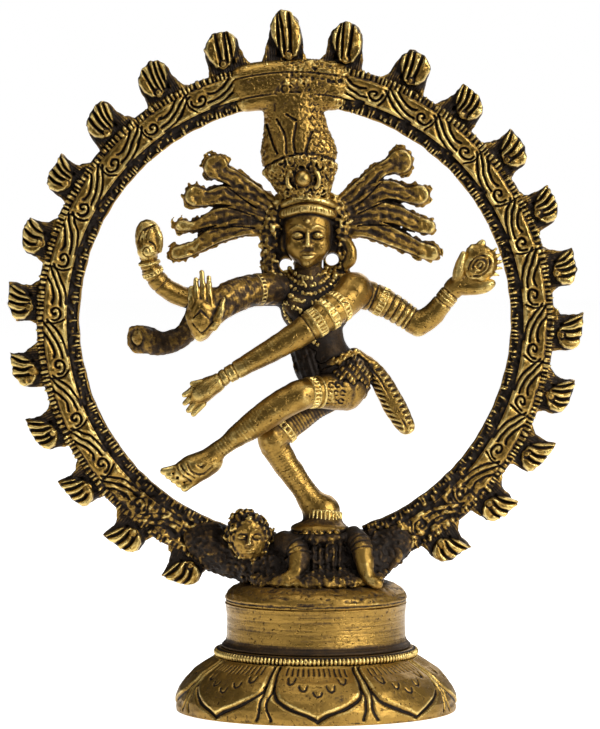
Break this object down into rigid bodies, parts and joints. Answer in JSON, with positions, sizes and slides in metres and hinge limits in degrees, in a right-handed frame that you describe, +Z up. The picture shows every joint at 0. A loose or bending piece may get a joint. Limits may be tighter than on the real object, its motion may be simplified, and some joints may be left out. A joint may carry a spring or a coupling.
{
  "type": "dancing figure statue",
  "caption": "Brass statue of a four-armed dancer inside a round hoop of flames, standing on a prone dwarf and a round lotus pedestal; a shelf ornament.",
  "frame": {"origin": "on the table, directly under the middle of the ring of flames; the pedestal's axis is 6 mm to its right", "axes": "+Z up, -Y towards the viewer in front of the dancer, +X to that viewer's right; the ring lies in the XZ plane"},
  "size_m": [0.165, 0.0814, 0.2],
  "materials": {
    "polished_brass": "hand finished cast brass, bright on the raised work and brown in the hollows",
    "dark_brass": "cast brass left with its brown patina",
    "turned_brass": "lathe turned brass with fine lines round it",
    "steel_fixings": "plain zinc plated steel"
  },
  "bodies": {
    "root": {"lotus_skirt": "polished_brass", "bead_collar": "polished_brass", "pedestal_drum": "turned_brass", "pedestal_cap": "turned_brass", "fixing_stud": "steel_fixings", "fixing_washer": "steel_fixings", "fixing_nut": "steel_fixings", "dwarf_body": "dark_brass", "dwarf_head": "polished_brass", "flame_ring": "polished_brass", "ring_flames": "polished_brass", "crest_flame": "polished_brass", "torso": "polished_brass", "hip_cloth": "dark_brass", "standing_leg": "polished_brass", "raised_leg": "polished_brass", "front_left_arm": "polished_brass", "front_right_arm": "polished_brass", "rear_left_arm": "polished_brass", "rear_right_arm": "polished_brass", "head": "polished_brass", "crown": "dark_brass", "hair_fan_left": "dark_brass", "hair_fan_right": "dark_brass", "sash_curl": "dark_brass", "sash_tail": "dark_brass", "hand_drum": "polished_brass", "hand_flame": "polished_brass", "necklace": "polished_brass", "armlets": "polished_brass", "bangles": "polished_brass", "anklets": "polished_brass"}
  },
  "joints": []
}
